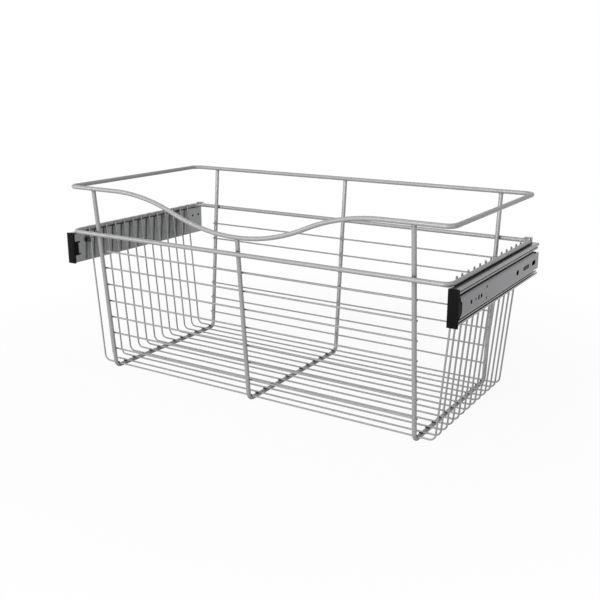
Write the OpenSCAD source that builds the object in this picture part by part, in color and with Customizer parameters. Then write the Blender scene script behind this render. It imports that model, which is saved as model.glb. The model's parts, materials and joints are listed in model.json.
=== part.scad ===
// Pull-out wire basket for a cabinet, carried by a pair of three-member ball-bearing slides.
// Sizes are in millimetres. The basket pulls out towards -Y, X runs across it and Z is up.
// Heights are counted from the centreline of the frames' floor runs and depths from the
// centreline of the top rim's front run; placed() moves both to the middle of the footprint.

/* [Basket] */
// Width between the two cabinet walls that the slides are fixed to
opening_w = 609.6; // [480:0.1:900]
// Depth of the top rim, between the centrelines of its front and back runs
rim_d = 284.8; // [250:0.1:520]
// Height of the top rim above the frames' floor runs
top_rim_h = 271.8; // [255:0.1:380]
// Height of the lower rim above the frames' floor runs
lower_rim_h = 206.9; // [198:0.1:215]
// How far the rims' side runs stand outside the inner faces of the slides
rim_seat = 0.9; // [0.5:0.1:3]
// How far the frames' floor corners stand in from the top rim, front and back
frame_inset = 24; // [10:0.5:40]
// How far the floor wires' corners stand in from the rims' side runs
floor_inset = 20.9; // [12:0.1:32]

/* [Rods and wires] */
// Diameter of the rods in the rims and frames
rod_d = 6; // [5:0.1:7]
// Diameter of the grid wires
wire_d = 2.4; // [1.8:0.1:3]
// Bend radius of the rims' corners
rim_bend_r = 12; // [8:0.5:18]
// Bend radius of the frames' floor corners
frame_bend_r = 10; // [6:0.1:14]
// Bend radius of the floor wires' corners
wire_bend_r = 8.5; // [4:0.5:14]
// Play left at each weld, so that rods and wires meet without running into each other
weld_gap = 0.02; // [0.01:0.01:0.05]

/* [Frames and front wave] */
// Distance of the outer frames in from the rims' side runs
frame_edge = 46.2; // [34:0.1:60]
// Distance of the wave's ends in from the rims' side runs
wave_edge = 87.2; // [70:0.1:120]
// Depth of the wave in the top rim's front run
wave_dip = 44.2; // [20:0.1:55]

/* [Grid] */
// Number of wires along the front, and as many along the back
level_count = 7; // [5:1:9]
// Height of the lowest front and back wire
level_first = 28; // [20:0.5:35]
// Spacing of the front and back wires
level_pitch = 25.4; // [18:0.1:28]
// How far the front and back wires run on past the outer frames' centrelines
level_overrun = 2; // [0:0.1:3]
// Number of floor wires, each running up both sides
floor_count = 13; // [8:1:18]
// Where the floor wires' spacing starts behind the frames' front corners
floor_start = 0.9; // [0:0.1:8]
// Where the floor wires' spacing ends before the frames' back corners
floor_end = 8; // [6:0.1:20]
// How far down the frames' front bends the first floor wire lies, in degrees from level
nestle_turn = 45; // [35:1:60]
// How deep the first floor wire is pressed into those bends
nestle_sink = 2; // [1.5:0.1:2.2]
// How far the floor wires' tips stand above the lower rim's centreline
tip_rise = 4.1; // [2:0.1:8]

/* [Slides] */
// Height of a slide
slide_h = 45; // [42:0.1:48]
// Thickness of a slide, from its basket side to the cabinet wall
slide_t = 12.7; // [12.5:0.1:14]
// Steel thickness of the basket and cabinet rails
rail_steel = 1.2; // [1:0.1:1.3]
// Steel thickness of the middle rails
middle_steel = 1.1; // [0.9:0.1:1.2]
// Thickness of the ball cages
cage_steel = 0.4; // [0.3:0.05:0.5]
// Bend radius of the rails' outer corners, at the middle of the steel
rail_bend_r = 1.4; // [1:0.1:1.6]
// Bend radius round the cabinet rails' outer faces, at the middle of the steel
plate_bend_r = 2.2; // [0.7:0.1:2.6]
// Bend radius of the cabinet rails' inner lips, at the middle of the steel
plate_lip_bend_r = 0.8; // [0.7:0.1:0.9]
// Bend radius of the middle rails and cages, at the middle of the steel
inner_bend_r = 0.9; // [0.6:0.1:1]
// Ball diameter
ball_d = 3; // [2.8:0.1:3.2]
// Running clearance between a ball and its tracks
ball_gap = 0.2; // [0.1:0.05:0.25]
// Clearance between a cage's web and the rails on both sides of it
cage_gap = 0.2; // [0.15:0.05:0.3]
// Clearance between a ball and its pocket
pocket_gap = 0.15; // [0.1:0.05:0.25]
// Distance of the ball rows from the slide's basket side
ball_u = 6.8; // [6.7:0.05:6.95]
// Distance of the basket rails' outer edge from the slide's basket side
lip_u = 10.3; // [10.2:0.05:10.6]
// Height of the basket rails' lips, over the steel
lip_h = 3.6; // [3.2:0.1:4]
// Height of the middle rails' lips, over the steel
middle_lip_h = 2.6; // [2.2:0.1:3]
// Height of the cabinet rails' inner lips, over the steel
plate_lip_h = 2.2; // [2.1:0.1:2.4]

/* [Slide lengths] */
// Where the basket rails start behind the top rim's front centreline
rail_front = 0.2; // [0.1:0.1:2]
// How far the basket rails run on behind the top rim's back centreline
rail_overrun = 9.1; // [6:0.1:20]
// How far the middle rails stop short of the basket rails, front and back
middle_short = 4.8; // [4.6:0.1:8]
// How far the cabinet rails stop short of the basket rails at the front
plate_front_short = 2.8; // [2:0.1:5]
// How far the cabinet rails stop short of the basket rails at the back
plate_back_short = 7.6; // [4:0.1:12]
// Length of the flat tail behind the cabinet rails' folded edges
plate_tail = 17.5; // [8:0.5:24]
// Half height of that flat tail
tail_v = 11.2; // [9:0.1:11.6]
// Length of the slides' travel
travel = 300; // [200:1:320]
// Length of the ball cages
cage_len = 130; // [90:1:140]
// Balls in each row
ball_count = 8; // [4:1:12]
// Distance from a cage's end to the middle of its first ball
cage_end = 5; // [4:0.1:8]
// Distance that a cage keeps from the ends of its rail when the basket is out
cage_margin = 4; // [2:0.5:8]

/* [Cabinet rail holes] */
// Diameter of the two screw holes at the front
screw_d = 5.4; // [4:0.1:6]
// Distance of the first screw hole from the rail's front end
screw_first = 33; // [28:0.1:40]
// Spacing of the two screw holes
screw_pitch = 32; // [30:0.1:34]
// Diameter of the pilot hole between the screw holes
pilot_d = 3.3; // [2:0.1:4]
// Distance of the pilot hole behind the first screw hole
pilot_step = 14.2; // [10:0.1:17]
// Width of the upright slot between the screw holes
upright_slot_w = 4.4; // [3:0.1:5]
// Height of that upright slot
upright_slot_h = 6.2; // [5.2:0.1:8]
// Distance of that upright slot behind the first screw hole
upright_slot_step = 23.4; // [22:0.1:25]
// Diameter of the two forming marks behind the screw holes
mark_d = 3.8; // [2:0.1:4]
// Distance of the forming marks behind the first screw hole
mark_step = 49; // [44:0.1:60]
// Height of the forming marks above and below the middle
mark_v = 6.8; // [5:0.1:8]
// Depth of the lower forming mark, which doesn't go through
mark_depth = 0.4; // [0.2:0.1:0.6]
// Length of the short oblong hole
oblong_l = 9.4; // [7:0.1:12]
// Height of the oblong hole
oblong_h = 6.6; // [5:0.1:7]
// Distance of the oblong hole's middle from the rail's back end
oblong_back = 88; // [80:0.1:96]
// Length of the long slot
slot_l = 23.5; // [18:0.1:26]
// Height of the long slot
slot_h = 5.5; // [4:0.1:6.5]
// Distance of the long slot's middle from the rail's back end
slot_back = 53; // [50:0.1:56]
// Length of the last slot
end_slot_l = 15; // [10:0.1:16]
// Height of the last slot
end_slot_h = 6.3; // [5:0.1:6.8]
// Distance of the last slot's middle from the rail's back end
end_slot_back = 20.4; // [19:0.1:23]
// Diameter of the small hole between the two slots
peg_d = 2; // [1.5:0.1:2.6]
// Distance of the small hole from the rail's back end
peg_back = 35; // [34:0.1:36]

/* [Hooks and web holes] */
// Width of the hook that folds over the lower rim at the back
rear_hook_w = 8; // [5:0.1:10]
// Reach of that hook over the rim
rear_hook_reach = 8.5; // [5:0.1:12]
// Height of the front hook that holds the first floor wire
front_hook_h = 6.5; // [5:0.1:10]
// Height of the front hook's lower edge above the slide's middle
front_hook_v = 5.5; // [3:0.1:7]
// Length of the front hook's lip along the rail
front_hook_l = 5; // [4:0.1:7]
// Length of the window in front of that hook
hook_window_l = 4.5; // [3:0.1:8]
// Play between a hook and what it holds
hook_gap = 0.1; // [0.05:0.05:0.3]
// Diameter of the two holes at the back of the basket rails' webs
web_hole_d = 4; // [3:0.1:5]
// Distance of the last web hole from the rail's back end
web_hole_back = 8.6; // [7:0.1:12]
// Spacing of the two web holes
web_hole_pitch = 14.8; // [12:0.1:18]
// Height of the web holes above the slide's middle
web_hole_v = 8.5; // [5:0.1:10]

/* [Front caps] */
// Thickness of the plastic block in front of the slide
cap_t = 2.8; // [2:0.1:4]
// How far the cap stays back from the cabinet wall
cap_wall_gap = 0.3; // [0.2:0.05:0.5]
// Thickness of the cap's tongue on the basket side of the rail
tongue_t = 0.7; // [0.6:0.1:1.2]
// How far the cap drops below the slide
cap_drop = 0.4; // [0.1:0.1:0.8]
// Height of the tongue's upper edge above the slide's middle
tongue_top = 9; // [7:0.1:10]
// Depth of the tongue's lower edge below the slide's middle
tongue_low = 11; // [9:0.1:12]
// Length of the tongue along the rail
tongue_l = 6.6; // [5:0.1:8]
// Length of the tongue's two prongs along the rail
prong_l = 10; // [9:0.1:11]
// Height of each prong
prong_h = 2; // [1.5:0.1:3]
// Height of the notch in the cabinet rail's front end above the slide's middle
notch_top = 5.2; // [4:0.1:6]
// Depth of that notch below the slide's middle
notch_low = 7.2; // [6:0.1:8]
// Depth of that notch along the rail
notch_l = 5; // [4:0.1:6]
// How much wider the notch is at its mouth, above and below
notch_flare = 3.6; // [2:0.1:4]
// Clearance between the cap's plug and the steel round it
plug_gap = 0.4; // [0.3:0.1:0.6]

/* [Hidden] */
$fn = 48;
rod_r = rod_d / 2;
wire_r = wire_d / 2;
// A bend is this much thinner than its straights, and its ends lie this deep inside them
bend_neck = 0.02;
bend_sink = 0.05;
// Number of flats that a folded edge is made of
fold_steps = 6;
// How far a cutting shape runs past what it cuts
past = 1;

// Frames: the uprights lean out from the floor corners to the top rim
lean = atan(frame_inset / top_rim_h);
function upright_y(z) = frame_inset * (1 - z / top_rim_h);
rim_half = opening_w / 2 - slide_t + rim_seat;
frame_x = rim_half - frame_edge;
wave_half = rim_half - wave_edge;
// The wave is two equal arcs on each side
wave_r = (pow(wave_half / 2, 2) + pow(wave_dip / 2, 2)) / wave_dip;
wave_turn = 2 * atan(wave_dip / wave_half);

// Lower rim: runs outside the uprights
lower_front_y = upright_y(lower_rim_h) - (rod_d + weld_gap) / cos(lean);
lower_back_y = rim_d - lower_front_y;

// Floor wires: lie on the frames and lean out to the lower rim's inner side
seat_z = rod_r + wire_r + weld_gap;
floor_half = rim_half - floor_inset;
leg_lean = atan(floor_inset / (lower_rim_h - seat_z))
    - asin(seat_z / norm([floor_inset, lower_rim_h - seat_z]));
function leg_x(z) = floor_half + (z - seat_z) * tan(leg_lean);
tip_z = lower_rim_h + tip_rise;
floor_first_y = frame_inset + floor_start;
floor_last_y = rim_d - frame_inset - floor_end;
floor_pitch = (floor_last_y - floor_first_y) / (floor_count - 1);
// The first floor wire nestles in a groove on the inside of the frames' front bends
corner_y = frame_inset + frame_bend_r * tan(45 - lean / 2);
inner_bend = frame_bend_r - seat_z;
nestle_r = inner_bend + nestle_sink;
nestle_y = corner_y - nestle_r * cos(nestle_turn);
nestle_z = frame_bend_r - nestle_r * sin(nestle_turn);
nestles = floor_first_y < nestle_y;
function floor_y(i) = i == 0 && nestles ? nestle_y : floor_first_y + i * floor_pitch;
// A floor wire that lies over a bend is lifted by it
function over_bend(y) = max(0, corner_y - y, y - (rim_d - corner_y));
function lifted_z(y) = frame_bend_r - sqrt(max(0, pow(inner_bend, 2) - pow(over_bend(y), 2)));
function floor_z(i) = i == 0 && nestles ? nestle_z : lifted_z(floor_y(i));

// Slides: u counts from the basket side outwards, v up from the slide's middle
web_x = opening_w / 2 - slide_t;
slide_z = lower_rim_h - rod_r - weld_gap - slide_h / 2;
rail_back = rim_d + rail_overrun;
middle_front = rail_front + middle_short;
middle_back = rail_back - middle_short;
plate_front = rail_front + plate_front_short;
plate_back = rail_back - plate_back_short;
flange_back = plate_back - plate_tail;
rail_v = slide_h / 2 - rail_steel / 2;
outer_ball_v = slide_h / 2 - rail_steel - ball_gap - ball_d / 2;
middle_v = outer_ball_v - ball_d / 2 - ball_gap - middle_steel / 2;
inner_ball_v = middle_v - middle_steel / 2 - ball_gap - ball_d / 2;
plate_v = inner_ball_v - ball_d / 2 - ball_gap - rail_steel / 2;
outer_cage_u = rail_steel + cage_gap + cage_steel / 2;
middle_u = outer_cage_u + cage_steel / 2 + cage_gap + middle_steel / 2;
inner_cage_u = middle_u + middle_steel / 2 + cage_gap + cage_steel / 2;
plate_lip_u = inner_cage_u + cage_steel / 2 + cage_gap + rail_steel / 2;
cage_edge_u = lip_u - rail_steel - cage_gap;
outer_cage_front = middle_front + cage_margin + travel / 4;
inner_cage_front = plate_front + cage_margin + travel / 4;
ball_pitch = (cage_len - 2 * cage_end) / (ball_count - 1);

// Hooks
hook_leg_x = leg_x(slide_z + front_hook_v) - wire_r - hook_gap;
hook_y = floor_y(0) - wire_r - hook_gap;
rear_hook_z = lower_rim_h + rod_r + hook_gap;
// In the plane of the rail's web the hook starts just behind the bend of the rim's rear corner
rear_hook_y = lower_back_y - rim_bend_r + hook_gap
    + sqrt(pow(rim_bend_r + rod_r, 2) - pow(rim_bend_r - rim_seat, 2));

// Footprint, for the origin
front_face = min(lower_front_y - rod_r, -rod_r, rail_front - hook_gap - cap_t);
back_face = max(rail_back, lower_back_y + rod_r);
mid_y = (front_face + back_face) / 2;

wire_colour = "silver";
steel_colour = "darkgray";
cage_colour = "gainsboro";
plastic_colour = [0.12, 0.12, 0.12];

function two_digits(i) = str(i < 10 ? "0" : "", i);
function floor_name(i) = str("floor_wire_", two_digits(i + 1));
function front_name(i) = str("front_wire_", two_digits(i + 1));
function back_name(i) = str("back_wire_", two_digits(i + 1));

// ---- paths of rods and folded steel ----

function heading(a, b) = atan2(b[1] - a[1], b[0] - a[0]);
function along(a, b) = (b - a) / norm(b - a);
function wrapped(t) = t > 180 ? t - 360 : t < -180 ? t + 360 : t;
function turn(a, b, c) = wrapped(heading(b, c) - heading(a, b));
function setback(a, b, c, bend_r) = bend_r * tan(abs(turn(a, b, c)) / 2);
function left_of(h) = [-sin(h), cos(h)];
function bend_middle(a, b, c, bend_r) = b - along(a, b) * setback(a, b, c, bend_r)
    + sign(turn(a, b, c)) * bend_r * left_of(heading(a, b));

module straight_rod(a, b, r) {
    translate([a[0], a[1], 0])
        rotate([0, 0, heading(a, b)])
            rotate([0, 90, 0])
                cylinder(r = r, h = norm(b - a));
}

module arc_rod(middle, bend_r, start, sweep, r) {
    translate([middle[0], middle[1], 0])
        rotate([0, 0, start])
            rotate_extrude(angle = sweep)
                translate([bend_r, 0])
                    circle(r = r);
}

// An arc between two thicker neighbours, with its ends inside them
module set_arc(middle, bend_r, start, sweep, r) {
    spare = bend_sink / bend_r * 180 / PI;
    arc_rod(middle, bend_r, start - spare, sweep + 2 * spare, r - bend_neck);
}

module bend(a, b, c, r, bend_r) {
    t = turn(a, b, c);
    start = t > 0 ? heading(a, b) - 90 : heading(a, b) + 90 + t;
    set_arc(bend_middle(a, b, c, bend_r), bend_r, start, abs(t), r);
}

// A rod along the points p, in the XY plane, with a bend at each inner point
module open_rod(p, r, bend_r) {
    last = len(p) - 1;
    for (i = [1 : last - 1])
        bend(p[i - 1], p[i], p[i + 1], r, bend_r);
    for (i = [0 : last - 1]) {
        u = along(p[i], p[i + 1]);
        start = i == 0 ? 0 : setback(p[i - 1], p[i], p[i + 1], bend_r);
        end = i == last - 1 ? 0 : setback(p[i], p[i + 1], p[i + 2], bend_r);
        straight_rod(p[i] + u * start, p[i + 1] - u * end, r);
    }
}

// The same, closed into a ring
module closed_rod(p, r, bend_r) {
    n = len(p);
    for (i = [0 : n - 1]) {
        before = p[(i + n - 1) % n];
        a = p[i];
        b = p[(i + 1) % n];
        after = p[(i + 2) % n];
        u = along(a, b);
        bend(a, b, after, r, bend_r);
        straight_rod(a + u * setback(before, a, b, bend_r), b - u * setback(a, b, after, bend_r), r);
    }
}

// One face of a folded strip: the path p moved sideways by s, with a round fold at each inner
// point; folds holds their radii
function fold_points(p, i, s, bend_r) = let (
    t = turn(p[i - 1], p[i], p[i + 1]),
    h = heading(p[i - 1], p[i]),
    c = bend_middle(p[i - 1], p[i], p[i + 1], bend_r)
) [for (k = [0 : fold_steps]) c + (s - sign(t) * bend_r) * left_of(h + t * k / fold_steps)];
function face_points(p, s, folds) = let (last = len(p) - 1) concat(
    [p[0] + s * left_of(heading(p[0], p[1]))],
    [for (i = [1 : last - 1]) each fold_points(p, i, s, folds[i - 1])],
    [p[last] + s * left_of(heading(p[last - 1], p[last]))]
);
function backwards(p) = [for (i = [len(p) - 1 : -1 : 0]) p[i]];
function alike(p, bend_r) = [for (i = [1 : len(p) - 2]) bend_r];

module folded_strip(p, t, folds) {
    polygon(concat(face_points(p, t / 2, folds), backwards(face_points(p, -t / 2, folds))));
}

// ---- places ----

module placed() {
    translate([0, -mid_y, rod_r])
        children();
}

module on_side(side) {
    placed()
        mirror([side == "left" ? 1 : 0, 0, 0])
            children();
}

// A section in u and v, run along the slide from y0 to y1
module slide_bar(y0, y1) {
    translate([web_x, y1, slide_z])
        rotate([90, 0, 0])
            linear_extrude(height = y1 - y0)
                children();
}

// A block of a slide, given by its lowest and highest u, y and v
module slide_block(low, high) {
    translate([web_x + low[0], low[1], slide_z + low[2]])
        cube(high - low);
}

// A round or oblong cut through a slide, long along y or, with upright, along v
module slide_slot(y, v, long, short, u0, u1, upright = false) {
    translate([web_x + u0, y, slide_z + v])
        rotate([upright ? 90 : 0, 0, 0]) {
            if (long > short) {
                for (end = [-1, 1])
                    translate([0, end * (long - short) / 2, 0])
                        rotate([0, 90, 0])
                            cylinder(d = short, h = u1 - u0);
                translate([0, -(long - short) / 2, -short / 2])
                    cube([u1 - u0, long - short, short]);
            } else {
                rotate([0, 90, 0])
                    cylinder(d = short, h = u1 - u0);
            }
        }
}

// ---- rods and wires ----

module top_rim() {
    color(wire_colour)
        placed() {
            translate([0, 0, top_rim_h])
                open_rod([[-wave_half, 0], [-rim_half, 0], [-rim_half, rim_d],
                    [rim_half, rim_d], [rim_half, 0], [wave_half, 0]], rod_r, rim_bend_r);
            translate([0, 0, top_rim_h])
                rotate([90 + lean, 0, 0]) {
                    set_arc([-wave_half, -wave_r], wave_r, 90 - wave_turn, wave_turn, rod_r);
                    set_arc([wave_half, -wave_r], wave_r, 90, wave_turn, rod_r);
                    arc_rod([0, wave_r - wave_dip], wave_r, -90 - wave_turn, 2 * wave_turn, rod_r);
                }
        }
}

module lower_rim() {
    color(wire_colour)
        placed()
            translate([0, 0, lower_rim_h])
                closed_rod([[-rim_half, lower_front_y], [rim_half, lower_front_y],
                    [rim_half, lower_back_y], [-rim_half, lower_back_y]], rod_r, rim_bend_r);
}

// A frame at x; its front upright stops dip below the top rim, measured along the upright
module frame(x, dip) {
    front_z = top_rim_h - (dip + rod_r + weld_gap) * cos(lean);
    back_z = top_rim_h - (rod_r + weld_gap) * cos(lean);
    color(wire_colour)
        placed()
            translate([x, 0, 0])
                rotate([90, 0, 90])
                    difference() {
                        open_rod([[upright_y(front_z), front_z], [frame_inset, 0],
                            [rim_d - frame_inset, 0], [rim_d - upright_y(back_z), back_z]],
                            rod_r, frame_bend_r);
                        if (nestles)
                            translate([nestle_y, nestle_z, 0])
                                cylinder(r = wire_r + weld_gap, h = 2 * rod_d, center = true);
                    }
}

module floor_wire(i) {
    z = floor_z(i);
    color(wire_colour)
        placed()
            translate([0, floor_y(i), 0])
                rotate([90, 0, 0])
                    open_rod([[-leg_x(tip_z), tip_z], [-leg_x(z), z], [leg_x(z), z],
                        [leg_x(tip_z), tip_z]], wire_r, wire_bend_r);
}

module level_wire(y, z) {
    reach = frame_x + level_overrun;
    color(wire_colour)
        placed()
            translate([-reach, y, z])
                rotate([0, 90, 0])
                    cylinder(r = wire_r, h = 2 * reach);
}

function level_z(i) = level_first + i * level_pitch;
function level_y(i) = upright_y(level_z(i)) + seat_z / cos(lean);

module front_wire(i) {
    level_wire(level_y(i), level_z(i));
}

module back_wire(i) {
    level_wire(rim_d - level_y(i), level_z(i));
}

// ---- slides ----

module basket_rail_section() {
    edge_u = lip_u - rail_steel / 2;
    lip_v = slide_h / 2 - lip_h;
    path = [[edge_u, -lip_v], [edge_u, -rail_v], [rail_steel / 2, -rail_v],
        [rail_steel / 2, rail_v], [edge_u, rail_v], [edge_u, lip_v]];
    folded_strip(path, rail_steel, alike(path, rail_bend_r));
}

// Stands in front of the first floor wire and turns back over it
module front_hook() {
    out = hook_leg_x - web_x;
    slide_block([out - rail_steel, hook_y - rail_steel, front_hook_v],
        [rail_steel / 2, hook_y, front_hook_v + front_hook_h]);
    slide_block([out - rail_steel, hook_y - rail_steel, front_hook_v],
        [out, hook_y - rail_steel + front_hook_l, front_hook_v + front_hook_h]);
}

// Rises from the web behind the lower rim's corner and folds in over the rim
module rear_hook() {
    y0 = rear_hook_y;
    y1 = rear_hook_y + rear_hook_w;
    top = rear_hook_z - slide_z;
    slide_block([0, y0, rail_v - rail_steel], [rail_steel, y1, top + rail_steel]);
    slide_block([-rear_hook_reach, y0, top], [rail_steel / 2, y1, top + rail_steel]);
}

module basket_rail(side) {
    color(steel_colour)
        on_side(side)
            difference() {
                union() {
                    slide_bar(rail_front, rail_back)
                        basket_rail_section();
                    front_hook();
                    rear_hook();
                }
                for (i = [0, 1])
                    slide_slot(rail_back - web_hole_back - i * web_hole_pitch, web_hole_v,
                        web_hole_d, web_hole_d, -past, rail_steel + past);
                // The window that the front hook was bent out of
                slide_block([-past / 2, hook_y - rail_steel - hook_window_l, front_hook_v],
                    [rail_steel + past, hook_y - rail_steel, front_hook_v + front_hook_h]);
            }
}

module middle_rail(side) {
    edge_u = lip_u - middle_steel / 2;
    lip_v = middle_v + middle_steel / 2 - middle_lip_h;
    path = [[edge_u, -lip_v], [edge_u, -middle_v], [middle_u, -middle_v],
        [middle_u, middle_v], [edge_u, middle_v], [edge_u, lip_v]];
    color(steel_colour)
        on_side(side)
            slide_bar(middle_front, middle_back)
                folded_strip(path, middle_steel, alike(path, inner_bend_r));
}

module cabinet_rail(side) {
    face_u = slide_t - rail_steel / 2;
    lip_v = plate_v - rail_steel / 2 + plate_lip_h;
    path = [[plate_lip_u, -lip_v], [plate_lip_u, -plate_v], [face_u, -plate_v],
        [face_u, plate_v], [plate_lip_u, plate_v], [plate_lip_u, lip_v]];
    folds = [plate_lip_bend_r, plate_bend_r, plate_bend_r, plate_lip_bend_r];
    first_y = plate_front + screw_first;
    u0 = slide_t - rail_steel - past;
    u1 = slide_t + past;
    color(steel_colour)
        on_side(side)
            difference() {
                union() {
                    slide_bar(plate_front, flange_back)
                        folded_strip(path, rail_steel, folds);
                    slide_block([slide_t - rail_steel, flange_back - past, -tail_v],
                        [slide_t, plate_back, tail_v]);
                }
                slide_slot(first_y, 0, screw_d, screw_d, u0, u1);
                slide_slot(first_y + screw_pitch, 0, screw_d, screw_d, u0, u1);
                slide_slot(first_y + pilot_step, 0, pilot_d, pilot_d, u0, u1);
                slide_slot(first_y + upright_slot_step, 0, upright_slot_h, upright_slot_w, u0, u1, true);
                slide_slot(first_y + mark_step, mark_v, mark_d, mark_d, u0, u1);
                slide_slot(first_y + mark_step, -mark_v, mark_d, mark_d, slide_t - mark_depth, u1);
                slide_slot(plate_back - oblong_back, 0, oblong_l, oblong_h, u0, u1);
                slide_slot(plate_back - slot_back, 0, slot_l, slot_h, u0, u1);
                slide_slot(plate_back - peg_back, 0, peg_d, peg_d, u0, u1);
                slide_slot(plate_back - end_slot_back, 0, end_slot_l, end_slot_h, u0, u1);
                plug_prism(0, slide_t - rail_steel - past, slide_t + past, plate_front - past);
            }
}

// The shape of the notch, drawn in by gap on its three sides and run from u0 to u1
module plug_prism(gap, u0, u1, front) {
    mouth = plate_front;
    end = plate_front + notch_l - gap;
    translate([web_x + u0, 0, slide_z])
        rotate([90, 0, 90])
            linear_extrude(height = u1 - u0)
                polygon([
                    [front, -notch_low - notch_flare + gap],
                    [mouth, -notch_low - notch_flare + gap],
                    [end, -notch_low + gap],
                    [end, notch_top - gap],
                    [mouth, notch_top + notch_flare - gap],
                    [front, notch_top + notch_flare - gap]
                ]);
}

// A strip over the slide's whole height, between the webs, with a pocket for each ball
module cage(side, u, v, front) {
    path = [[cage_edge_u, -v], [u, -v], [u, v], [cage_edge_u, v]];
    color(cage_colour)
        on_side(side)
            difference() {
                slide_bar(front, front + cage_len)
                    folded_strip(path, cage_steel, alike(path, inner_bend_r));
                for (i = [0 : ball_count - 1], edge = [-1, 1])
                    translate([web_x + ball_u, front + cage_end + i * ball_pitch,
                        slide_z + edge * v])
                        cylinder(d = ball_d + 2 * pocket_gap, h = 4 * cage_steel, center = true);
            }
}

module balls(side, v, front) {
    color(cage_colour)
        on_side(side)
            for (i = [0 : ball_count - 1], edge = [-1, 1])
                translate([web_x + ball_u, front + cage_end + i * ball_pitch, slide_z + edge * v])
                    sphere(d = ball_d);
}

module front_cap(side) {
    back = rail_front - hook_gap;
    front = back - cap_t;
    tongue_u = -hook_gap / 2 - tongue_t;
    color(plastic_colour)
        on_side(side) {
            slide_block([tongue_u, front, -slide_h / 2 - cap_drop],
                [slide_t - cap_wall_gap, back, slide_h / 2 - cap_drop]);
            slide_block([tongue_u, front + cap_t / 2, -tongue_low],
                [-hook_gap / 2, tongue_l, tongue_top]);
            for (low = [-tongue_low, tongue_top - prong_h])
                slide_block([tongue_u, front + cap_t / 2, low],
                    [-hook_gap / 2, prong_l, low + prong_h]);
            difference() {
                plug_prism(plug_gap, rail_steel + hook_gap, slide_t - cap_wall_gap, back - cap_t / 2);
                slide_block([0, middle_front - plug_gap, -slide_h / 2],
                    [middle_u + middle_steel / 2 + plug_gap, plate_front + notch_l, slide_h / 2]);
            }
        }
}

top_rim();
lower_rim();
frame(-frame_x, 0);  // left_frame
frame(0, wave_dip);  // middle_frame
frame(frame_x, 0);  // right_frame
for (i = [0 : floor_count - 1])
    floor_wire(i);
for (i = [0 : level_count - 1]) {
    front_wire(i);
    back_wire(i);
}
for (side = ["left", "right"]) {
    basket_rail(side);
    middle_rail(side);
    cabinet_rail(side);
    cage(side, outer_cage_u, outer_ball_v, outer_cage_front);
    cage(side, inner_cage_u, inner_ball_v, inner_cage_front);
    balls(side, outer_ball_v, outer_cage_front);
    balls(side, inner_ball_v, inner_cage_front);
    front_cap(side);
}
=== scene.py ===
# %% [markdown]
# # A pull-out wire basket on ball-bearing slides
#
# The basket is bent from two thicknesses of plated steel wire and hangs between two
# telescopic slides. The exact model already has every rod, wire and rail as a body of its
# own, so this lesson dresses that model: it gives each metal its finish, adds the small
# things that welding and moulding leave behind, and sets up the studio and the camera.

import json
import math

import bmesh
import bpy
from mathutils import Matrix, Vector


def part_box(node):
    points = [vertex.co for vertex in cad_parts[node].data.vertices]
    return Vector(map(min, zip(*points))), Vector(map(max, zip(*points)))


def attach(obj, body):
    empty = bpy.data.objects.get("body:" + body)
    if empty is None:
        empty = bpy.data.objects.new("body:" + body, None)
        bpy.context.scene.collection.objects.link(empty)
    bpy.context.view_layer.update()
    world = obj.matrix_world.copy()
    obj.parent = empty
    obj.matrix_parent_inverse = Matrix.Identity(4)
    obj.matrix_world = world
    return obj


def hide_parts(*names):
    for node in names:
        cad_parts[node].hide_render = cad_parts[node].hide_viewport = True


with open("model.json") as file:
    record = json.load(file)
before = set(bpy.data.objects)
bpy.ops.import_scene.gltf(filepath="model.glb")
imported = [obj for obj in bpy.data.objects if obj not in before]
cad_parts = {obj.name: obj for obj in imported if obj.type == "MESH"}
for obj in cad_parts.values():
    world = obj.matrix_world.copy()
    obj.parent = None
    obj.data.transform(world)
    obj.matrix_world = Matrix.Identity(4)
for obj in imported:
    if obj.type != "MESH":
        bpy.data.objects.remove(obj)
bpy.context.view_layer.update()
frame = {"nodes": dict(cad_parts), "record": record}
nodes = frame["nodes"]

# %% [markdown]
# ## Values that several steps share
#
# All lengths are in metres, because the model is. A weld or a rounded wire end has to sit on
# the wire that carries it, so the radii and the lean of the uprights are written once here,
# and every place is measured from the wires' own boxes.

# %% Wire sizes and small helpers
MM = 0.001
rod_r = 3.0 * MM
wire_r = 1.2 * MM
frame_inset = 24.0 * MM
top_rim_rise = 271.8 * MM
lower_rim_rise = 206.9 * MM
floor_inset = 20.9 * MM
seat = rod_r + wire_r
lean = math.atan(frame_inset / top_rim_rise)
leg_rise = lower_rim_rise - seat
leg_lean = (math.atan(floor_inset / leg_rise)
            - math.asin(seat / math.hypot(floor_inset, leg_rise)))
FRAMES = ("left_frame", "middle_frame", "right_frame")
UP = Vector((0, 0, 1))
ACROSS = Vector((1, 0, 0))
DEPTH = Vector((0, 1, 0))


def numbered(stem):
    """The nodes whose names are stem and a number, in order."""
    return [name for name in sorted(nodes) if name.startswith(stem) and name[-1].isdigit()]


def middle(name):
    low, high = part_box(name)
    return (low + high) / 2


floor_wires = numbered("floor_wire_")
front_wires = numbered("front_wire_")
back_wires = numbered("back_wire_")
print("floor, front and back wires:", len(floor_wires), len(front_wires), len(back_wires))
print("lean of the uprights:", round(math.degrees(lean), 2), "degrees, of the side wires:",
      round(math.degrees(leg_lean), 2))

# %% [markdown]
# ## Studio floor
#
# A basket like this is photographed on a white sheet. The floor is one large disc. Near the
# basket it is mostly the white of the surroundings, with just enough of the sheet's own
# shading to keep a faint shadow. Further out it is that white alone, so that no horizon line
# shows. The rays that light the basket from below meet a grey floor, as they would on a table
# that is smaller than the picture suggests.

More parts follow.
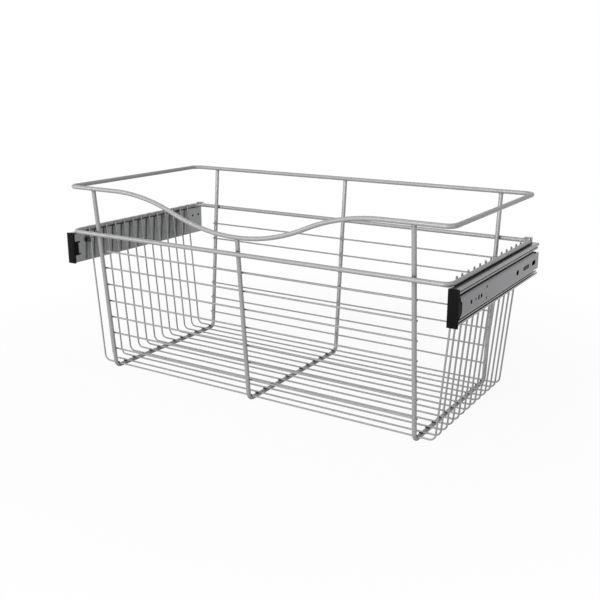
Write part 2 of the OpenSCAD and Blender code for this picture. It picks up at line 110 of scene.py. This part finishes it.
# %% White floor with a soft shadow
FLOOR_R = 9.0
FLOOR_SIDES = 96
FLOOR_DROP = 0.3 * MM
floor_mesh = bmesh.new()
bmesh.ops.create_circle(floor_mesh, cap_ends=True, segments=FLOOR_SIDES, radius=FLOOR_R)
floor_data = bpy.data.meshes.new("studio_floor")
floor_mesh.to_mesh(floor_data)
floor_mesh.free()
floor = bpy.data.objects.new("studio_floor", floor_data)
bpy.context.scene.collection.objects.link(floor)
floor.location.z = -FLOOR_DROP
print("floor radius:", FLOOR_R, "m")


# %% Helper for wiring nodes
def add_node(tree, kind, **settings):
    """A new node; a setting whose name is an input's label sets that input, others set the node."""
    made = tree.nodes.new(kind)
    for name, value in settings.items():
        label = name.replace("_", " ").title()
        if label in made.inputs:
            made.inputs[label].default_value = value
        else:
            setattr(made, name, value)
    return made


def blank_material(name):
    made = bpy.data.materials.new(name)
    made.use_nodes = True
    made.node_tree.nodes.clear()
    return made, made.node_tree


def shown_rays(tree):
    """1 on rays that show a surface directly, in a gloss or through glass, 0 on the rest."""
    path = add_node(tree, "ShaderNodeLightPath")
    first = add_node(tree, "ShaderNodeMath", operation="MAXIMUM")
    both = add_node(tree, "ShaderNodeMath", operation="MAXIMUM")
    tree.links.new(path.outputs["Is Camera Ray"], first.inputs[0])
    tree.links.new(path.outputs["Is Glossy Ray"], first.inputs[1])
    tree.links.new(first.outputs[0], both.inputs[0])
    tree.links.new(path.outputs["Is Transmission Ray"], both.inputs[1])
    return both.outputs[0]


# %% Floor finish
WHITE = (1, 1, 1, 1)
FADE_START, FADE_END = 0.3, 0.8
NEAR_SHARE = 0.93
SHEET_COLOUR = (0.96, 0.96, 0.96, 1)
BOUNCE_COLOUR = (0.2, 0.2, 0.2, 1)
floor_finish, tree = blank_material("white studio floor")
seen = shown_rays(tree)
sheet = add_node(tree, "ShaderNodeBsdfDiffuse", color=SHEET_COLOUR)
bounce = add_node(tree, "ShaderNodeBsdfDiffuse", color=BOUNCE_COLOUR)
glow = add_node(tree, "ShaderNodeEmission", color=WHITE, strength=1.0)
place = add_node(tree, "ShaderNodeTexCoord")
reach = add_node(tree, "ShaderNodeVectorMath", operation="LENGTH")
fade = add_node(tree, "ShaderNodeMapRange", interpolation_type="SMOOTHSTEP")
fade.inputs["From Min"].default_value = FADE_START
fade.inputs["From Max"].default_value = FADE_END
fade.inputs["To Min"].default_value = NEAR_SHARE
far = add_node(tree, "ShaderNodeMixShader")
choice = add_node(tree, "ShaderNodeMixShader")
result = add_node(tree, "ShaderNodeOutputMaterial")
tree.links.new(place.outputs["Object"], reach.inputs[0])
tree.links.new(reach.outputs["Value"], fade.inputs["Value"])
tree.links.new(fade.outputs["Result"], far.inputs["Fac"])
tree.links.new(sheet.outputs[0], far.inputs[1])
tree.links.new(glow.outputs[0], far.inputs[2])
tree.links.new(seen, choice.inputs["Fac"])
tree.links.new(bounce.outputs[0], choice.inputs[1])
tree.links.new(far.outputs[0], choice.inputs[2])
tree.links.new(choice.outputs[0], result.inputs["Surface"])
floor.data.materials.append(floor_finish)
print("floor finish:", floor_finish.name)

# %% [markdown]
# ## Surroundings and lamps
#
# Plated wire shows what is around it. The surroundings are white where the picture sees
# them, and the same white is mirrored in the metal. The main light is a large soft lamp low
# in front of the basket, well to the left of the camera. It catches the uprights and the
# long front rods, and leaves the rods that run away from the camera darker. Weaker lamps at
# both sides and above keep the rest from going black.

# %% White surroundings
AMBIENT = 0.2
world = bpy.data.worlds.new("studio surroundings")
bpy.context.scene.world = world
world.use_nodes = True
tree = world.node_tree
tree.nodes.clear()
seen = shown_rays(tree)
ambient = add_node(tree, "ShaderNodeBackground", color=WHITE, strength=AMBIENT)
backdrop = add_node(tree, "ShaderNodeBackground", color=WHITE, strength=1.0)
choice = add_node(tree, "ShaderNodeMixShader")
result = add_node(tree, "ShaderNodeOutputWorld")
tree.links.new(seen, choice.inputs["Fac"])
tree.links.new(ambient.outputs[0], choice.inputs[1])
tree.links.new(backdrop.outputs[0], choice.inputs[2])
tree.links.new(choice.outputs[0], result.inputs["Surface"])
bpy.context.scene.view_settings.view_transform = "Standard"
print("world:", world.name)


# %% Soft lamps
BASKET_MIDDLE = Vector((0, 0, 0.12))


def soft_lamp(name, place, size, watts):
    """A square area lamp at place that points at the middle of the basket."""
    lamp = bpy.data.lights.new(name, "AREA")
    lamp.shape = "SQUARE"
    lamp.size = size
    lamp.energy = watts
    made = bpy.data.objects.new(name, lamp)
    made.location = place
    made.rotation_euler = (BASKET_MIDDLE - Vector(place)).to_track_quat("-Z", "Y").to_euler()
    bpy.context.scene.collection.objects.link(made)
    return made


lamps = [
    soft_lamp("front softbox", (0.1, -2.3, 0.55), 2.0, 62),
    soft_lamp("left softbox", (-1.8, -1.4, 0.5), 1.4, 16),
    soft_lamp("right softbox", (2.1, -1.0, 0.5), 1.4, 6),
    soft_lamp("overhead softbox", (-0.3, -0.2, 2.3), 1.4, 6),
]
print("lamps:", [(lamp.name, lamp.data.energy) for lamp in lamps])

# %% [markdown]
# ## Shared surface effects
#
# Four effects come back in the finishes. Plating is slightly cloudy, steel strip has fine
# lines from rolling, shade is painted in where two pieces nearly touch, as a darker and less
# metallic surface, and some edges are brighter, partly from handling and partly as a painted
# highlight. Each effect is one node group with named inputs, so every material can use it
# with its own values.


# %% Helper for effect groups
def effect_group(name, takes, gives):
    """A node group with the inputs (label, socket type, value) and outputs (label, socket type)."""
    group = bpy.data.node_groups.new(name, "ShaderNodeTree")
    for label, kind, value in takes:
        socket = group.interface.new_socket(name=label, in_out="INPUT", socket_type=kind)
        socket.default_value = value
    for label, kind in gives:
        group.interface.new_socket(name=label, in_out="OUTPUT", socket_type=kind)
    return group, add_node(group, "NodeGroupInput"), add_node(group, "NodeGroupOutput")


FLOAT, COLOUR, VECTOR = "NodeSocketFloat", "NodeSocketColor", "NodeSocketVector"

# %% Cloudy plating
clouds, given, gives = effect_group(
    "cloudy plating",
    [("Colour", COLOUR, (0.5, 0.5, 0.5, 1)), ("Dark Colour", COLOUR, (0.4, 0.4, 0.4, 1)),
     ("Scale", FLOAT, 90.0), ("Roughness", FLOAT, 0.35), ("Roughness Swing", FLOAT, 0.1)],
    [("Colour", COLOUR), ("Roughness", FLOAT)],
)
place = add_node(clouds, "ShaderNodeTexCoord")
cloud = add_node(clouds, "ShaderNodeTexNoise", detail=5.0, roughness=0.6)
mix = add_node(clouds, "ShaderNodeMix", data_type="RGBA")
swing = add_node(clouds, "ShaderNodeMath", operation="SUBTRACT")
swing.inputs[1].default_value = 0.5
rough = add_node(clouds, "ShaderNodeMath", operation="MULTIPLY_ADD")
clouds.links.new(place.outputs["Object"], cloud.inputs["Vector"])
clouds.links.new(given.outputs["Scale"], cloud.inputs["Scale"])
clouds.links.new(cloud.outputs["Fac"], mix.inputs["Factor"])
clouds.links.new(given.outputs["Dark Colour"], mix.inputs["A"])
clouds.links.new(given.outputs["Colour"], mix.inputs["B"])
clouds.links.new(mix.outputs["Result"], gives.inputs["Colour"])
clouds.links.new(cloud.outputs["Fac"], swing.inputs[0])
clouds.links.new(swing.outputs[0], rough.inputs[0])
clouds.links.new(given.outputs["Roughness Swing"], rough.inputs[1])
clouds.links.new(given.outputs["Roughness"], rough.inputs[2])
clouds.links.new(rough.outputs[0], gives.inputs["Roughness"])
print("effect:", clouds.name)

# %% Lines left by rolling and drawing
lines, given, gives = effect_group(
    "rolling lines",
    [("Stretch", VECTOR, (1, 1, 1)), ("Scale", FLOAT, 900.0)],
    [("Height", FLOAT)],
)
place = add_node(lines, "ShaderNodeTexCoord")
stretch = add_node(lines, "ShaderNodeVectorMath", operation="MULTIPLY")
grain = add_node(lines, "ShaderNodeTexNoise", detail=3.0, roughness=0.55)
lines.links.new(place.outputs["Object"], stretch.inputs[0])
lines.links.new(given.outputs["Stretch"], stretch.inputs[1])
lines.links.new(stretch.outputs["Vector"], grain.inputs["Vector"])
lines.links.new(given.outputs["Scale"], grain.inputs["Scale"])
lines.links.new(grain.outputs["Fac"], gives.inputs["Height"])
print("effect:", lines.name)

# %% Painted shade where pieces nearly touch
painted_nook_shade, given, gives = effect_group(
    "painted shade in nooks",
    [("Colour", COLOUR, (0.5, 0.5, 0.5, 1)), ("Painted Shade Colour", COLOUR, (0.08, 0.08, 0.08, 1)),
     ("Metallic", FLOAT, 1.0), ("Reach", FLOAT, 0.004), ("Strength", FLOAT, 0.8)],
    [("Colour", COLOUR), ("Metallic", FLOAT)],
)
# Painted shade: the colour darkens and the metal loses its shine where other pieces are near.
near = add_node(painted_nook_shade, "ShaderNodeAmbientOcclusion", samples=8)
shade_mask = add_node(painted_nook_shade, "ShaderNodeMapRange", interpolation_type="SMOOTHSTEP")
shade_mask.inputs["From Min"].default_value = 0.95
shade_mask.inputs["From Max"].default_value = 0.35
part = add_node(painted_nook_shade, "ShaderNodeMath", operation="MULTIPLY")
unshaded = add_node(painted_nook_shade, "ShaderNodeMath", operation="SUBTRACT")
unshaded.inputs[0].default_value = 1.0
shine = add_node(painted_nook_shade, "ShaderNodeMath", operation="MULTIPLY")
mix = add_node(painted_nook_shade, "ShaderNodeMix", data_type="RGBA")
painted_nook_shade.links.new(given.outputs["Reach"], near.inputs["Distance"])
painted_nook_shade.links.new(near.outputs["AO"], shade_mask.inputs["Value"])
painted_nook_shade.links.new(shade_mask.outputs["Result"], part.inputs[0])
painted_nook_shade.links.new(given.outputs["Strength"], part.inputs[1])
painted_nook_shade.links.new(part.outputs[0], mix.inputs["Factor"])
painted_nook_shade.links.new(given.outputs["Colour"], mix.inputs["A"])
painted_nook_shade.links.new(given.outputs["Painted Shade Colour"], mix.inputs["B"])
painted_nook_shade.links.new(mix.outputs["Result"], gives.inputs["Colour"])
painted_nook_shade.links.new(part.outputs[0], unshaded.inputs[1])
painted_nook_shade.links.new(unshaded.outputs[0], shine.inputs[0])
painted_nook_shade.links.new(given.outputs["Metallic"], shine.inputs[1])
painted_nook_shade.links.new(shine.outputs[0], gives.inputs["Metallic"])
print("effect:", painted_nook_shade.name)

# %% Edges brighter from handling and a painted highlight
worn_and_lit_edges, given, gives = effect_group(
    "rubbed edges with painted highlight",
    [("Colour", COLOUR, (0.5, 0.5, 0.5, 1)), ("Edge Colour", COLOUR, (0.8, 0.8, 0.8, 1)),
     ("Width", FLOAT, 0.0004), ("Strength", FLOAT, 0.7)],
    [("Colour", COLOUR)],
)
# Brighter edges: partly rubbed wear, partly a painted highlight on edges that are sharp in the
# model.
plain = add_node(worn_and_lit_edges, "ShaderNodeNewGeometry")
rounded = add_node(worn_and_lit_edges, "ShaderNodeBevel", samples=6)
agree = add_node(worn_and_lit_edges, "ShaderNodeVectorMath", operation="DOT_PRODUCT")
edge = add_node(worn_and_lit_edges, "ShaderNodeMapRange", interpolation_type="SMOOTHSTEP")
edge.inputs["From Min"].default_value = 0.99
edge.inputs["From Max"].default_value = 0.80
part = add_node(worn_and_lit_edges, "ShaderNodeMath", operation="MULTIPLY")
mix = add_node(worn_and_lit_edges, "ShaderNodeMix", data_type="RGBA")
worn_and_lit_edges.links.new(given.outputs["Width"], rounded.inputs["Radius"])
worn_and_lit_edges.links.new(plain.outputs["Normal"], agree.inputs[0])
worn_and_lit_edges.links.new(rounded.outputs["Normal"], agree.inputs[1])
worn_and_lit_edges.links.new(agree.outputs["Value"], edge.inputs["Value"])
worn_and_lit_edges.links.new(edge.outputs["Result"], part.inputs[0])
worn_and_lit_edges.links.new(given.outputs["Strength"], part.inputs[1])
worn_and_lit_edges.links.new(part.outputs[0], mix.inputs["Factor"])
worn_and_lit_edges.links.new(given.outputs["Colour"], mix.inputs["A"])
worn_and_lit_edges.links.new(given.outputs["Edge Colour"], mix.inputs["B"])
worn_and_lit_edges.links.new(mix.outputs["Result"], gives.inputs["Colour"])
print("effect:", worn_and_lit_edges.name)


# %% [markdown]
# ## Metal finishes
#
# All the metals are built alike: cloudy plating, painted shade in the nooks and, on the basket
# rails' cut steel strip, edges brighter from wear and a painted highlight. What differs is how
# bright and how smooth each one is. The bump is very low, because plated wire looks smooth from
# arm's length and only its gloss is broken up. The satin wire scatters most of the light, while
# the rails are smooth and fully metallic, so that they mirror the wires in front of them. The
# members of a slide share one slot but not one finish: the plate on the cabinet side is much
# darker and a little bluer than the rail on the basket side. The photograph doesn't show the
# rail between them. It is taken to be zinc, and strong painted shade makes it dark where the
# others enclose it. The cages, which are enclosed too, get the same painted shade.


# %% One function for every metal
BUMP_DEPTH = 0.2 * MM
EDGE_GAIN = 1.6
PAINTED_SHADE_SHARE = 0.16


def place_group(tree, group):
    made = tree.nodes.new("ShaderNodeGroup")
    made.node_tree = group
    return made


def grey(value, tint=(1, 1, 1)):
    return tuple(value * part for part in tint) + (1,)


def metal(name, bright, dark, roughness, metallic, stretch, grain_scale, bump, edge=0.0,
          tint=(1, 1, 1), nook_shade=0.97, nook_shade_reach=0.006, swing=0.12, cloud_scale=90.0, gloss=0.5):
    """A metal whose clouds run between the greys bright and dark."""
    made, tree = blank_material(name)
    plating = place_group(tree, clouds)
    plating.inputs["Colour"].default_value = grey(bright, tint)
    plating.inputs["Dark Colour"].default_value = grey(dark, tint)
    plating.inputs["Scale"].default_value = cloud_scale
    plating.inputs["Roughness"].default_value = roughness
    plating.inputs["Roughness Swing"].default_value = swing
    colour = plating.outputs["Colour"]
    # Brighter edges, partly wear and partly a painted highlight.
    if edge:
        rub_and_highlight = place_group(tree, worn_and_lit_edges)
        rub_and_highlight.inputs["Edge Colour"].default_value = grey(min(1, bright * EDGE_GAIN), tint)
        rub_and_highlight.inputs["Strength"].default_value = edge
        tree.links.new(colour, rub_and_highlight.inputs["Colour"])
        colour = rub_and_highlight.outputs["Colour"]
    # Painted shade in the nooks, in both the colour and the metallic.
    shade = place_group(tree, painted_nook_shade)
    shade.inputs["Painted Shade Colour"].default_value = grey(PAINTED_SHADE_SHARE * bright, tint)
    shade.inputs["Reach"].default_value = nook_shade_reach
    shade.inputs["Strength"].default_value = nook_shade
    shade.inputs["Metallic"].default_value = metallic
    tree.links.new(colour, shade.inputs["Colour"])
    rolled = place_group(tree, lines)
    rolled.inputs["Stretch"].default_value = stretch
    rolled.inputs["Scale"].default_value = grain_scale
    relief = add_node(tree, "ShaderNodeBump", strength=bump, distance=BUMP_DEPTH)
    surface = add_node(tree, "ShaderNodeBsdfPrincipled")
    surface.inputs["Specular IOR Level"].default_value = gloss
    result = add_node(tree, "ShaderNodeOutputMaterial")
    if metallic:
        tree.links.new(shade.outputs["Metallic"], surface.inputs["Metallic"])
    tree.links.new(shade.outputs["Colour"], surface.inputs["Base Color"])
    tree.links.new(plating.outputs["Roughness"], surface.inputs["Roughness"])
    tree.links.new(rolled.outputs["Height"], relief.inputs["Height"])
    tree.links.new(relief.outputs["Normal"], surface.inputs["Normal"])
    tree.links.new(surface.outputs["BSDF"], result.inputs["Surface"])
    return made


# %% Finishes of the wires, rails, cages and balls
ALL_WAYS = (1, 1, 1)
ALONG_RAIL = (1, 0.03, 1)
# Each finish darkens its nooks with painted shade; the rails and the cages reach far, so their
# enclosed insides, holes and bends turn dark.
finishes = {
    "rod": metal("satin plated rod", 0.36, 0.31, 0.36, 0.25, ALL_WAYS, 1500, 0.25),
    "grid_wire": metal("satin plated wire", 0.33, 0.28, 0.40, 0.25, ALL_WAYS, 1800, 0.25),
    "slide_steel": metal("zinc plated strip", 0.25, 0.22, 0.20, 1.0, ALONG_RAIL, 1400, 0.3,
                         edge=0.6, tint=(0.98, 0.99, 1.0), swing=0.05, nook_shade=0.95,
                         nook_shade_reach=0.012, gloss=0.1),
    "cage_steel": metal("bright cage strip", 0.42, 0.36, 0.32, 0.85, ALONG_RAIL, 1600, 0.2,
                        nook_shade=1.0, nook_shade_reach=0.02, gloss=0.05),
    "ball_steel": metal("polished ball steel", 0.66, 0.60, 0.12, 1.0, ALL_WAYS, 900, 0.05,
                        nook_shade=0.3),
}
own_finishes = {
    "cabinet_rail": metal("zinc plated plate", 0.145, 0.13, 0.20, 1.0, ALONG_RAIL, 1400, 0.3,
                          tint=(0.98, 0.985, 1.03), swing=0.05, nook_shade=0.98, nook_shade_reach=0.02,
                          gloss=0.1),
    # Zinc with strong painted shade, nearly black where the other rails enclose it.
    "middle_rail": metal("zinc strip with painted shade", 0.20, 0.17, 0.25, 1.0, ALONG_RAIL, 1400, 0.3,
                         swing=0.05, nook_shade=1.0, nook_shade_reach=0.02, gloss=0.05),
}
print("finishes:", ", ".join(sorted(finishes) + sorted(own_finishes)))

# %% [markdown]
# ## Moulded plastic
#
# The caps at the slides' front ends are moulded in black plastic. Moulded faces have a very
# fine even grain, and the corners are a little lighter, partly from fingers rubbing them and
# partly as a painted highlight.

# %% Black cap plastic
plastic, tree = blank_material("black cap plastic")
# Lighter corners, partly wear and partly a painted highlight.
rub_and_highlight = place_group(tree, worn_and_lit_edges)
rub_and_highlight.inputs["Colour"].default_value = grey(0.005)
rub_and_highlight.inputs["Edge Colour"].default_value = grey(0.015)
rub_and_highlight.inputs["Strength"].default_value = 0.6
speck = place_group(tree, lines)
speck.inputs["Scale"].default_value = 2200
relief = add_node(tree, "ShaderNodeBump", strength=0.35, distance=BUMP_DEPTH)
surface = add_node(tree, "ShaderNodeBsdfPrincipled", roughness=0.6)
surface.inputs["Specular IOR Level"].default_value = 0.05
result = add_node(tree, "ShaderNodeOutputMaterial")
tree.links.new(rub_and_highlight.outputs["Colour"], surface.inputs["Base Color"])
tree.links.new(speck.outputs["Height"], relief.inputs["Height"])
tree.links.new(relief.outputs["Normal"], surface.inputs["Normal"])
tree.links.new(surface.outputs["BSDF"], result.inputs["Surface"])
finishes["cap_plastic"] = plastic
print("finish:", plastic.name)

# %% Give every exact piece its finish
slot_of = {row["node"]: row["material_slot"] for row in frame["record"]["subparts"]}
for name, piece in nodes.items():
    kind = name.split("_", 1)[-1]
    for holder in piece.material_slots:
        holder.material = own_finishes.get(kind, finishes[slot_of[name]])
print("dressed", len(nodes), "exact pieces")

# %% [markdown]
# ## Welds
#
# The basket is held together by welds. Where a thin wire is pressed onto a rod and melted,
# a little metal is squeezed out along both sides of the wire and leaves a flat bead. The
# plating round it is darker through the painted shade of the nooks. The photograph has nearly
# black marks along the floor rods, so the beads there are larger and darker than real ones are
# likely to be: their nearly black colour is partly burnt weld metal and partly a painted
# shadow of the wires on the rods. One ball of few faces is stretched into a bead and laid at
# every crossing, because there are so many of them. All the beads of one kind are joined into
# one piece.

# %% Helpers for beads
BALL_STEPS = 2


def add_bead(mesh, place, along, across, radii):
    """A stretched ball at place; radii are along the thin wire, across it and away from the rod."""
    along = along.normalized()
    away = along.cross(across).normalized()
    turned = Matrix((along, away.cross(along), away)).transposed().to_4x4()
    stretched = Matrix.Diagonal((*radii, 1))
    bmesh.ops.create_icosphere(mesh, subdivisions=BALL_STEPS, radius=1.0,
                               matrix=Matrix.Translation(place) @ turned @ stretched)


def finish_piece(mesh, name, finish, smooth=True, body="basket"):
    """Turns mesh into a piece that wears finish and moves with body."""
    for face in mesh.faces:
        face.smooth = smooth
    data = bpy.data.meshes.new(name)
    mesh.to_mesh(data)
    mesh.free()
    data.materials.append(finish)
    piece = bpy.data.objects.new(name, data)
    bpy.context.scene.collection.objects.link(piece)
    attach(piece, body)
    return piece


# %% Finishes of the welds
WELD_CLOUDS = 400.0
WELD_SHADE_REACH = 3.0 * MM
weld_finish = metal("dull weld metal", 0.30, 0.20, 0.45, 0.5, ALL_WAYS, 1200, 0.5, nook_shade=0.9,
                    nook_shade_reach=WELD_SHADE_REACH, cloud_scale=WELD_CLOUDS)
# Nearly black: partly burnt weld metal, partly a painted shadow of the floor wires on the rods.
burnt_weld_and_shadow_finish = metal("burnt weld metal and painted shadow", 0.03, 0.02, 0.65, 0.0, ALL_WAYS, 1200, 0.5,
                     nook_shade_reach=WELD_SHADE_REACH, cloud_scale=WELD_CLOUDS)
print("finishes:", weld_finish.name, "and", burnt_weld_and_shadow_finish.name)

# %% Directions at the front and the back
UPRIGHT = {"front": Vector((0, -math.sin(lean), math.cos(lean))),
           "back": Vector((0, math.sin(lean), math.cos(lean)))}
INWARDS = {"front": Vector((0, math.cos(lean), math.sin(lean))),
           "back": Vector((0, -math.cos(lean), math.sin(lean)))}
FRAME_X = [middle(name).x for name in FRAMES]
WIRE_BEAD = (1.9 * MM, 2.3 * MM, 0.9 * MM)
FLOOR_BEAD = (2.8 * MM, 3.9 * MM, 1.3 * MM)
FIRST_COLLAR = (3.7 * MM, 2.2 * MM, 2.0 * MM)
print("frames at x in mm:", [round(1000 * x, 1) for x in FRAME_X])

# %% Beads between the floor wires and the frames
beads = bmesh.new()
for wire in floor_wires[1:]:
    low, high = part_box(wire)
    for x in FRAME_X:
        add_bead(beads, Vector((x, (low.y + high.y) / 2, low.z)), ACROSS, DEPTH, FLOOR_BEAD)
# The first wire lies in the bend, so its bead is a collar on both sides of the rod
low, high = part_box(floor_wires[0])
for x in FRAME_X:
    add_bead(beads, Vector((x, (low.y + high.y) / 2, low.z + wire_r)), ACROSS, DEPTH, FIRST_COLLAR)
# These beads are enlarged and nearly black to paint the wires' shadows on the rods.
finish_piece(beads, "floor_welds_and_painted_shadow", burnt_weld_and_shadow_finish)
print("beads on the floor:", 3 * len(floor_wires))

# %% Beads between the front and back wires and the frames
for end, wires in (("front", front_wires), ("back", back_wires)):
    beads = bmesh.new()
    for wire in wires:
        for x in FRAME_X:
            place = middle(wire) - INWARDS[end] * wire_r
            place.x = x
            add_bead(beads, place, ACROSS, UPRIGHT[end], WIRE_BEAD)
    finish_piece(beads, f"{end}_weld_beads", weld_finish)
    print("beads at the", end + ":", 3 * len(wires))

# %% Beads between the side wires and the lower rim
beads = bmesh.new()
rim_low, rim_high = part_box("lower_rim")
rim_inside = rim_high.x - 2 * rod_r
for wire in floor_wires:
    for side in (-1, 1):
        place = Vector((side * rim_inside, middle(wire).y, (rim_low.z + rim_high.z) / 2))
        add_bead(beads, place, UP, DEPTH, WIRE_BEAD)
finish_piece(beads, "side_weld_beads", weld_finish)
print("beads on the lower rim:", 2 * len(floor_wires))

# %% Beads between the rods
WAVE_DIP = 44.2 * MM
ROD_BEAD = (3.0 * MM, 3.0 * MM, 1.3 * MM)
COLLAR = (3.4 * MM, 3.4 * MM, 2.2 * MM)
top_low, top_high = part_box("top_rim")
run_y = {"front": top_low.y + rod_r, "back": top_high.y - rod_r}
rim_y = {"front": rim_low.y + rod_r, "back": rim_high.y - rod_r}
beads = bmesh.new()
for end in ("front", "back"):
    for name, x in zip(FRAMES, FRAME_X):
        dip = WAVE_DIP if end == "front" and name == "middle_frame" else 0
        top = Vector((x, run_y[end], top_high.z - rod_r)) - UPRIGHT[end] * (dip + rod_r)
        add_bead(beads, top, ACROSS, INWARDS[end], COLLAR)
        crossing = Vector((x, rim_y[end], (rim_low.z + rim_high.z) / 2)) + INWARDS[end] * rod_r
        add_bead(beads, crossing, ACROSS, UPRIGHT[end], ROD_BEAD)
finish_piece(beads, "rod_weld_beads", weld_finish)
print("beads between rods:", 4 * len(FRAMES))

# %% [markdown]
# ## Rounded wire ends
#
# The wires are cut before they are plated. The plating builds up round the cut, so the end
# looks like a shallow dome and not like a sharp disc. Each dome is a flattened ball, sunk
# into the wire's end.

# %% Domes on the wire ends
TIP_FIT = 0.98
TIP = (0.5 * MM, TIP_FIT * wire_r, TIP_FIT * wire_r)
tips = bmesh.new()
for wire in floor_wires:
    low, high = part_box(wire)
    for side in (-1, 1):
        leg = Vector((side * math.sin(leg_lean), 0, math.cos(leg_lean)))
        end = Vector((side * (high.x - wire_r * math.cos(leg_lean)), (low.y + high.y) / 2,
                      high.z - wire_r * math.sin(leg_lean)))
        add_bead(tips, end, leg, DEPTH, TIP)
finish_piece(tips, "side_wire_tips", finishes["grid_wire"])
tips = bmesh.new()
for wire in front_wires + back_wires:
    low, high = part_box(wire)
    for x in (low.x, high.x):
        add_bead(tips, Vector((x, *middle(wire).yz)), ACROSS, DEPTH, TIP)
finish_piece(tips, "level_wire_tips", finishes["grid_wire"])
print("wire ends:", 2 * len(floor_wires + front_wires + back_wires))

# %% [markdown]
# ## Stop tabs
#
# A slide of this kind has a stop at the back end of the middle rail that keeps the ball cage
# in. The photograph doesn't show it, so its shape here is a guess: a tab bent out of the web.
# It also closes the view through the cabinet rail's last slot, which is dark in the
# photograph and would show the white surroundings without it. The tab is dark there through
# the painted shade of the middle rail's finish.

# %% Tabs at the middle rails' back ends
TAB_REACH = 6.4 * MM
TAB_THICKNESS = 1.1 * MM
TAB_HALF_H = 10.5 * MM
TAB_ROUND = 0.25 * MM
TAB_SINK = 0.3 * MM
for side, out in (("left", -1), ("right", 1)):
    low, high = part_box(side + "_middle_rail")
    web = low.x if out > 0 else high.x
    size = Vector((TAB_REACH, TAB_THICKNESS, 2 * TAB_HALF_H))
    place = Vector((web + out * (TAB_SINK + TAB_REACH / 2), high.y - TAB_THICKNESS / 2,
                    (low.z + high.z) / 2))
    tab = bmesh.new()
    bmesh.ops.create_cube(tab, size=1.0,
                          matrix=Matrix.Translation(place) @ Matrix.Diagonal((*size, 1)))
    bmesh.ops.bevel(tab, geom=tab.edges[:], affect="EDGES", offset=TAB_ROUND, segments=2,
                    profile=0.5, material=-1, clamp_overlap=True)
    # Painted shade: the middle rail's finish darkens the tab inside the slide.
    piece = finish_piece(tab, side + "_stop_tab", own_finishes["middle_rail"],
                         smooth=False, body=side + "_middle")
    print(piece.name, "faces:", len(piece.data.polygons))

# %% [markdown]
# ## Front caps
#
# A moulded cap has no sharp edges, because a mould can't be cut with any. The exact cap is
# copied, its loose triangles are merged, and all its edges get a small round bevel. The copy
# then stands for the exact one.

# %% Caps with rounded edges
CAP_ROUND = 0.35 * MM
MERGE_REACH = 0.001 * MM
FLAT_ANGLE = math.radians(1)
SHARP_ANGLE = math.radians(20)
for side in ("left", "right"):
    exact = side + "_front_cap"
    cap = bmesh.new()
    cap.from_mesh(nodes[exact].data)
    bmesh.ops.remove_doubles(cap, verts=cap.verts, dist=MERGE_REACH)
    bmesh.ops.dissolve_limit(cap, angle_limit=FLAT_ANGLE, verts=cap.verts, edges=cap.edges)
    sharp = [edge for edge in cap.edges if edge.calc_face_angle(0) > SHARP_ANGLE]
    bmesh.ops.bevel(cap, geom=sharp, affect="EDGES", offset=CAP_ROUND, segments=3, profile=0.5,
                    material=-1, clamp_overlap=True)
    piece = finish_piece(cap, side + "_cap_moulding", finishes["cap_plastic"])
    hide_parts(exact)
    print(piece.name, "faces:", len(piece.data.polygons))

# %% [markdown]
# ## Camera
#
# The camera stands where the photograph was taken: to the right of the basket's front and a
# little above it. The image is 600 by 600 pixels, and the focal length was found in pixels
# from the straight wires, so it is turned into millimetres on a 36 mm sensor here.

# %% Camera at the photograph's place
IMAGE = 600
FOCAL_PIXELS = 837.0
SENSOR = 36.0
eye = Vector((0.62806, -0.98489, 0.44287))
aim = Vector((-0.00193, 0.01224, 0.11159))
lens = bpy.data.cameras.new("camera")
lens.sensor_width = SENSOR
lens.lens = FOCAL_PIXELS * SENSOR / IMAGE
camera = bpy.data.objects.new("camera", lens)
camera.location = eye
camera.rotation_euler = (aim - eye).to_track_quat("-Z", "Y").to_euler()
bpy.context.scene.collection.objects.link(camera)
bpy.context.scene.camera = camera
print("lens:", round(lens.lens, 2), "mm, distance:", round((aim - eye).length, 3), "m")
